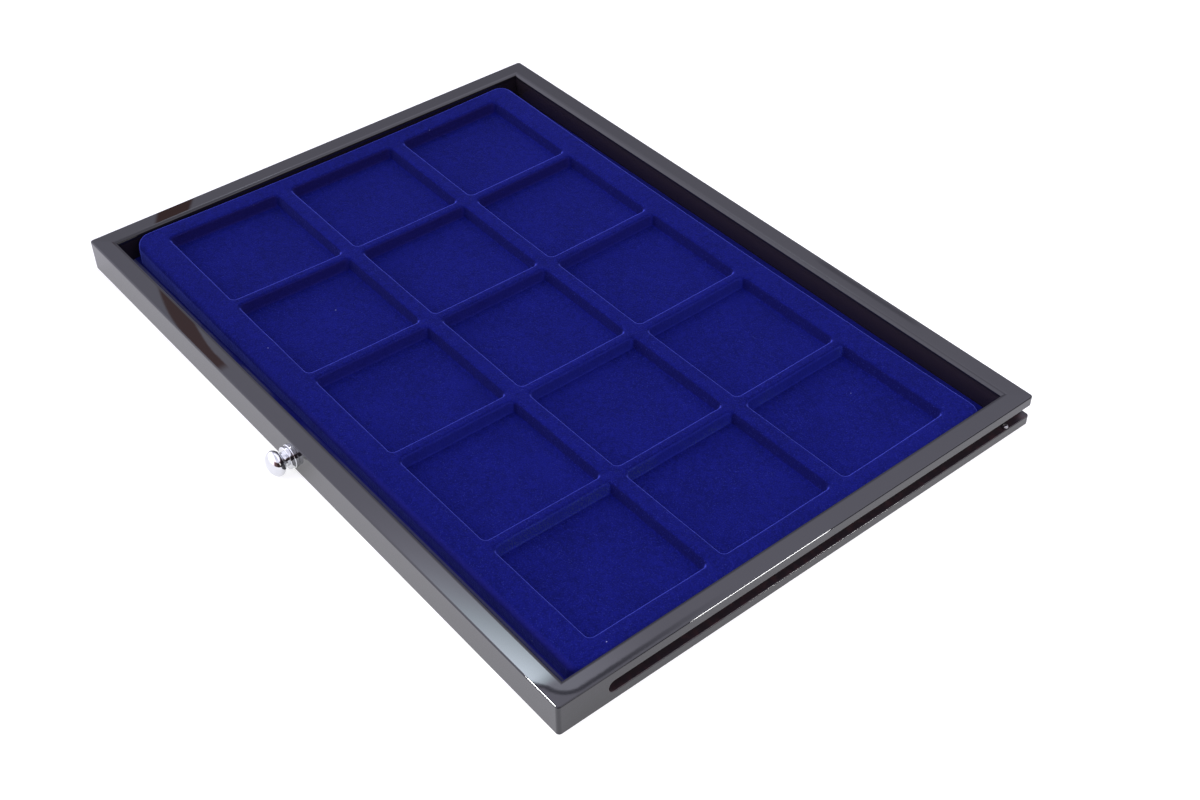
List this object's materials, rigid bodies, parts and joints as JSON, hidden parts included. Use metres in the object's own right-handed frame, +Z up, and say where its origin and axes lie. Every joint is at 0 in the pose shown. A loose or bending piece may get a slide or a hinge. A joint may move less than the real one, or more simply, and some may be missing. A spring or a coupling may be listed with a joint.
{
  "type": "specimen drawer tray",
  "caption": "Shallow black lacquered drawer tray with a small round knob, side runner grooves and a loose blue flocked insert of square recesses.",
  "frame": {"origin": "middle of the frame's underside, where the rails and the base panel are flush; the knob stands out in front of the frame and isn't counted", "axes": "+X along the long rails, +Y from the knob towards the back, +Z up"},
  "size_m": [0.312, 0.2334, 0.0135],
  "materials": {
    "lacquer": "wood under polished black lacquer",
    "panel": "thin board with a satin black face",
    "tongue": "bare beech",
    "flock": "moulded sheet flocked in royal blue",
    "chrome": "polished chrome plate",
    "steel": "plain bright steel"
  },
  "bodies": {
    "frame": {"front_rail": "lacquer", "back_rail": "lacquer", "left_rail": "lacquer", "right_rail": "lacquer", "corner_key_front_left": "tongue", "corner_key_front_right": "tongue", "corner_key_back_left": "tongue", "corner_key_back_right": "tongue", "base_panel": "panel", "stop_pin_left": "steel", "stop_pin_right": "steel", "knob_rosette": "chrome", "knob": "chrome", "knob_screw": "steel"},
    "insert": {"insert_tray": "flock"}
  },
  "joints": [
    {"name": "insert_lift", "type": "slide", "parent": "frame", "child": "insert", "axis": [0, 0, 1], "range_m": [0, 0.03]}
  ]
}
